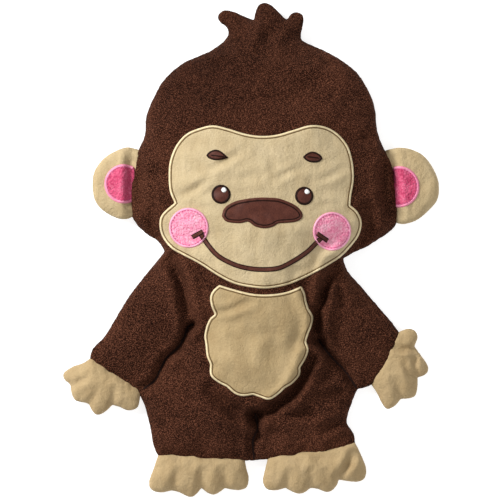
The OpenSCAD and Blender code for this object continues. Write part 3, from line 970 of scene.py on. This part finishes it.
PATCH_UNDER = 0.25  # how far a patch sinks into the cloth below it, and its least thickness above
STRAND_PITCH = 0.9
STRAND_LOW = 0.72  # height of every second strand of satin stitch, as a share
STRAND_LEAN = 0.35 * STRAND_PITCH
GROOVE = (0.55, 0.16)  # depth and width of the groove along a double band, as shares
STITCH_LONG = 2.3
STITCH_WIDE = 0.75
STITCH_LIFT = (0.0, 1.0, 1.0, 0.0)  # how far a stitch stands up at each of its points
STITCH_ROUND = ((-1, 0), (-0.6, 1), (0.6, 1), (1, 0))  # its section: place across it, and side or top


def lay_patch(name, outline, material, step, thick, dome, uneven=0.0, folds=(), trees=LAID):
    """A patch of cloth with a rolled edge. It follows what lies under it, and is laid on in turn."""
    cut = Cut(outline, step)
    base = top_of(cut.points, trees)
    roll = smooth_step(cut.from_edge / (1.6 * step) + 0.25)
    front = base + thick * roll + dome * (1 - np.exp(-cut.from_edge / 5))
    front -= crease_depth(cut.points, folds)
    front += uneven * (rough(cut.points, 9, 2.0) + 0.6 * rough(cut.points, 20, 8.0)) * ~cut.edge
    front = np.where(cut.edge, base + 0.2, np.maximum(front, base + PATCH_UNDER))
    points, faces, _ = pillow(cut, front, base - PATCH_UNDER)
    patch = mesh_object(name, points, faces, [material])
    trees.append(tree_of(patch.data))
    return patch


def satin_band(name, line, width, high, material, closed=True, trees=LAID, double=False):
    """A band of satin stitches: a low ridge of strands laid across it, with a groove if double."""
    line = spaced(line, STRAND_PITCH, closed)
    right = normals_of(line, closed)
    forward = np.stack([-right[:, 1], right[:, 0]], 1)
    count = len(line)
    strand = np.where(np.arange(count) % 2 == 0, 1.0, STRAND_LOW)
    across = np.linspace(-1, 1, 7 if double else 5)
    crown = np.sqrt(np.maximum(1 - across**2, 0.0))
    if double:
        crown *= 1 - GROOVE[0] * bell(across, GROOVE[1])
    rows = []
    for u, c in zip(across, crown):
        reach = u * width / 2 * (0.94 + 0.06 * strand)
        flat = line + right * reach[:, None] + forward * STRAND_LEAN * u
        rows.append(np.column_stack([flat, top_of(flat, trees) + high * c * strand + 0.05]))
    for flat in (rows[-1][:, :2], rows[0][:, :2]):
        rows.append(np.column_stack([flat, top_of(flat, trees) - 0.5]))
    faces = []
    for i in range(count if closed else count - 1):
        j = (i + 1) % count
        for k in range(len(rows)):
            a, b = k * count, (k + 1) % len(rows) * count
            faces.append((a + i, b + i, b + j, a + j))
    if not closed:
        start = [k * count for k in range(len(rows))]
        faces.append(start[::-1])
        faces.append([a + count - 1 for a in start])
    return mesh_object(name, np.concatenate(rows), faces, [material])


def dark_line(name, line, width, high, hold, closed=True, node=()):
    """A narrow band of dark thread. Along the topstitching it is painted shade in the seam's groove."""
    attach(satin_band(name, line, width, high, DARK_THREAD_AND_GROOVE_SHADE, closed), hold, "thread_dark", *node)


def running_stitches(name, line, material, gap, closed=True, trees=LAID):
    """A row of separate stitches, each a short thread that dips into the cloth at both ends."""
    line = spaced(line, (STITCH_LONG + gap) / 4, closed)
    right = normals_of(line, closed)
    heights = top_of(line, trees)
    points, faces = [], []
    for start in range(0, len(line) - 3, 4):
        for k, lift in enumerate(STITCH_LIFT):
            here = start + k
            half = STITCH_WIDE / 2 * (0.55 + 0.45 * lift)
            base = len(points)
            for u, is_top in STITCH_ROUND:
                z = heights[here] + (0.3 * lift if is_top else -0.25) + 0.08
                points.append((*(line[here] + right[here] * u * half), z))
            if k:
                for m in range(4):
                    n = (m + 1) % 4
                    faces.append((base - 4 + m, base - 4 + n, base + n, base + m))
        first = len(points) - 16
        faces.append((first + 3, first + 2, first + 1, first))
        faces.append((first + 12, first + 13, first + 14, first + 15))
    return mesh_object(name, points, faces, [material])


# ---------- face and belly

PATCH_STEP = 2.6
PATCH_THICK = 1.5
PATCH_DOME = 0.6
PATCH_UNEVEN = 0.4
EDGE_WIDE, EDGE_HIGH, EDGE_IN = 1.7, 0.7, 0.9  # the satin edge of a patch, and its inset
LINE_WIDE, LINE_HIGH, LINE_IN = 1.0, 0.35, 2.3  # the dark line inside that edge
FACE_FOLDS = [
    ([(-62, 44), (-46, 52), (-34, 62)], 1.8, 2.4),
    ([(-40, 66), (-22, 74), (-6, 84)], 1.6, 2.6),
    ([(18, 58), (34, 66), (46, 70)], 1.5, 2.5),
    ([(50, 58), (66, 62), (80, 70)], 1.5, 2.6),
    ([(-20, 60), (-6, 60), (8, 62)], 1.4, 3.4),
    ([(54, 34), (62, 38), (74, 38)], 1.4, 2.2),
    ([(-32, 34), (-44, 36), (-56, 42)], 1.4, 2.2),
    ([(-44, 2), (-40, -6), (-38, -11)], 1.2, 2.0),
    ([(-34, -4), (-29, -12), (-27, -17)], 1.2, 2.0),
    ([(12, 84), (20, 74), (24, 66)], 1.0, 4.0),
]
BELLY_FOLDS = [
    ([(-28, -52), (-14, -49), (0, -43)], 2.7, 2.5),
    ([(-24, -40), (-12, -44), (0, -44)], 1.2, 3.0),
    ([(20, -62), (18, -84), (20, -108)], 0.8, 5.0),
    ([(-30, -58), (-20, -62), (-12, -62)], 1.0, 3.0),
]


def sewn_patch(name, stretches, material, folds, hold, cloth_nodes, edge_nodes):
    """A sheet of velour stretched over the body, with its satin edge and dark inner line."""
    line = loop(stretches, PATCH_STEP)
    cloth = lay_patch(f"{name}_patch_cloth", line, material, PATCH_STEP, PATCH_THICK, PATCH_DOME,
                      PATCH_UNEVEN, folds)
    attach(cloth, hold, "velour_tan", *cloth_nodes)
    edge = satin_band(f"{name}_edge_satin", inset(line, EDGE_IN), EDGE_WIDE, EDGE_HIGH, CREAM_THREAD)
    attach(edge, hold, "thread_cream", *edge_nodes)
    dark = satin_band(f"{name}_edge_line", inset(line, LINE_IN), LINE_WIDE, LINE_HIGH, OLIVE_THREAD)
    attach(dark, hold, "thread_dark")


sewn_patch("face", FACE, FACE_VELOUR, FACE_FOLDS, fold_neck,
           ["face_patch", "chin_patch"], ["face_border", "chin_border"])
sewn_patch("belly", BELLY, BELLY_VELOUR, BELLY_FOLDS, ride_torso, ["belly_patch"], ["belly_border"])


# ---------- features of the face


def make_nose():
    outline = loop(NOSE, 1.8)
    nose = lay_patch("nose_satin", outline, BROWN_SATIN, 1.8, 0.9, 1.0, 0.08)
    attach(nose, fold_neck, "satin_brown", "nose_patch")
    edge = satin_band("nose_edge_satin", inset(outline, 1.1), 2.4, 0.7, BROWN_SATIN)
    attach(edge, fold_neck, "thread_dark", "nose_border")
    dark_line("nose_edge_line", inset(outline, 2.5), 1.1, 0.5, fold_neck)


def make_eye(side):
    """An eye with a dark rim and a white glint."""
    middle, radius = EYES[side]
    eye = lay_patch(f"{side}_eye_satin", circle(middle, radius, 1.2), BROWN_SATIN, 1.4, 0.7, 0.9)
    attach(eye, ride_head, "satin_brown", f"{side}_eye")
    dark_line(f"{side}_eye_rim", circle(middle, radius - 0.9, 0.9), 1.9, 0.5, ride_head)
    glint_line = circle(np.array(middle) + GLINT_AT, GLINT_RADIUS, 0.8)
    glint = lay_patch(f"{side}_eye_glint", glint_line, WHITE_THREAD, 0.9, 0.5, 0.4)
    # One CAD node holds both glints, and one visual piece stands for it
    attach(glint, ride_head, "thread_white", *(["eye_glints"] if side == "right" else []))


def make_brow(side):
    """An eyebrow with a dark rim and a dark line up its middle."""
    outline = loop(BROWS[side], 1.2)
    brow = lay_patch(f"{side}_brow_satin", outline, BROWN_SATIN, 1.3, 0.6, 0.5)
    attach(brow, ride_head, "satin_brown", f"{side}_brow")
    dark_line(f"{side}_brow_rim", inset(outline, 0.7), 1.5, 0.45, ride_head)
    a, b = outline[outline[:, 0].argmin()], outline[outline[:, 0].argmax()]
    middle_line = a + (b - a) * np.linspace(0.22, 0.8, 8)[:, None] + (0, 0.3)
    dark_line(f"{side}_brow_line", middle_line, 1.1, 0.4, ride_head, False)


def make_cheek(side):
    """A disc of plush with a satin edge and a row of stitches inside it."""
    middle, radius = CHEEKS[side]
    cheek = lay_patch(f"{side}_cheek_plush", circle(middle, radius, 2.0), CHEEK_PLUSH, 1.7, 0.9, 1.0, 0.6)
    attach(cheek, fold_neck, "plush_pink", f"{side}_cheek")
    edge_line = circle(middle, radius - 0.9, THREAD_STEP)
    edge = satin_band(f"{side}_cheek_edge", edge_line, 1.8, 0.7, PALE_PINK_THREAD)
    attach(edge, fold_neck, "thread_pink", f"{side}_cheek_border")
    stitch_line = circle(middle, radius - 2.2, THREAD_STEP)
    stitches = running_stitches(f"{side}_cheek_stitches", stitch_line, ROSE_THREAD, 0.4)
    attach(stitches, fold_neck, "thread_pink")


def embroidered_line(name, line, width, high, *nodes):
    """A double line of brown satin stitch with a dark rim on both sides."""
    middle = satin_band(f"{name}_satin", line, width, high, BROWN_SATIN, False, double=True)
    for number, half in ((1, -0.5), (2, 0.5)):
        beside = line + normals_of(line, False) * half * width
        dark_line(f"{name}_rim_{number}", beside, 1.0, 0.6, fold_neck, False)
    attach(middle, fold_neck, "satin_brown", *nodes)
    return middle


def make_smile():
    """The smile, and the short bar across each of its ends."""
    smile = embroidered_line("smile", curve(SMILE, 2.0), 3.2, 0.8, "smile_stitching")
    LAID.append(tree_of(smile.data))
    for number, ends in enumerate(SMILE_BARS, 1):
        embroidered_line(f"smile_end_{number}", np.linspace(*ends, 8), 3.0, 1.0)


make_nose()
for eye_side in SIDES:
    make_eye(eye_side)
    make_brow(eye_side)
for cheek_side in SIDES:
    make_cheek(cheek_side)
make_smile()


# ---------- ear linings

# Where the head hides the rest of a lining, and which way is outwards
LINING_CUTS = {"right": (-97.5, -1), "left": (119.5, 1)}
CHORD_STEPS = 14


def lining_arc(side, smaller, inwards=0.0):
    """The seen part of a lining's round edge, drawn smaller, in the direction of a closed outline."""
    middle, radius = EAR_LININGS[side]
    cut_x, outward = LINING_CUTS[side]
    line = circle(middle, radius - smaller, 1.8)
    seen = line[(line[:, 0] - cut_x - outward * inwards) * outward > 0.4]
    from_middle = seen - middle
    seen = seen[np.argsort(np.arctan2(from_middle[:, 1], from_middle[:, 0] * outward))]
    return seen[::-1] if outward > 0 else seen


def make_lining(side):
    hold = folding()
    arc = lining_arc(side, 0.0)
    outline = np.vstack([arc, np.linspace(arc[-1], arc[0], CHORD_STEPS)[1:-1]])
    trees = [FLAP_TREES[f"{side}_ear"]]
    lining = lay_patch(f"{side}_ear_lining_plush", outline, EAR_PLUSH, 1.9, 0.9, 0.9, 0.4, (), trees)
    attach(lining, hold, "plush_hot_pink", f"{side}_ear_lining")
    arc = lining_arc(side, 0.9, 0.5)
    edge = satin_band(f"{side}_ear_lining_edge", arc, 2.2, 0.7, EAR_THREAD, False, trees)
    attach(edge, hold, "thread_light_pink", f"{side}_ear_lining_border")
    arc = lining_arc(side, 2.4, 0.5)
    stitches = running_stitches(f"{side}_ear_lining_stitches", arc, ROSE_THREAD, 0.5, False, trees)
    attach(stitches, hold, "thread_light_pink")


for lining_side in SIDES:
    make_lining(lining_side)


# ---------- topstitching: near-black painted shade in the seam grooves


def topstitch_groove_shade(part, route, hold):
    # The near-black band is painted shade in the groove of the topstitched seam
    dark_line(f"{part}_topstitch", curve(route, 2.0), 1.8, 0.4, hold, False, [f"{part}_stitching"])


for arm_side in SIDES:
    topstitch_groove_shade(f"{arm_side}_arm", ARM_STITCHES[arm_side], ride_torso)
topstitch_groove_shade("leg", LEG_STITCHES, fold_hips)


# ---------- floor, light and camera

FLOOR_HALF = 3.0
CAMERA_DISTANCE = 2.2
FRAME_WIDTH = 0.4235  # how much of the floor the picture shows
CAMERA_PLACE = (-0.0009, -0.0007, CAMERA_DISTANCE + 0.02)
SENSOR_WIDTH = 36


def make_floor():
    corners = [(x * FLOOR_HALF, y * FLOOR_HALF, 0) for x, y in ((-1, -1), (1, -1), (1, 1), (-1, 1))]
    mesh = bpy.data.meshes.new("floor")
    mesh.from_pydata(corners, [], [(0, 1, 2, 3)])
    material, shader = new_material("pale_floor")
    set_inputs(shader, {
        "Base Color": (0.5, 0.5, 0.5, 1), "Roughness": 0.9,
        "Emission Color": (1, 1, 1, 1), "Emission Strength": 0.78,
    })
    mesh.materials.append(material)
    add_object("floor", mesh)


def area_light(name, place, size, power):
    """A square light that faces the origin."""
    data = bpy.data.lights.new(name, "AREA")
    data.shape = "SQUARE"
    data.size = size
    data.energy = power
    light = add_object(name, data)
    light.location = place
    light.rotation_euler = (-Vector(place)).to_track_quat("-Z", "Y").to_euler()


def make_world():
    world = bpy.data.worlds.new("studio")
    world.use_nodes = True
    set_inputs(world.node_tree.nodes["Background"], {"Color": (1, 1, 1, 1), "Strength": 0.42})
    bpy.context.scene.world = world
    bpy.context.scene.view_settings.view_transform = "Standard"


def make_camera():
    data = bpy.data.cameras.new("camera")
    data.sensor_width = SENSOR_WIDTH
    data.lens = SENSOR_WIDTH * CAMERA_DISTANCE / FRAME_WIDTH
    camera = add_object("camera", data)
    camera.location = CAMERA_PLACE
    bpy.context.scene.camera = camera


make_floor()
area_light("key", (-2.7, 1.6, 2.1), 1.0, 178)
area_light("fill", (1.3, -0.6, 1.6), 1.4, 9)
make_world()
make_camera()
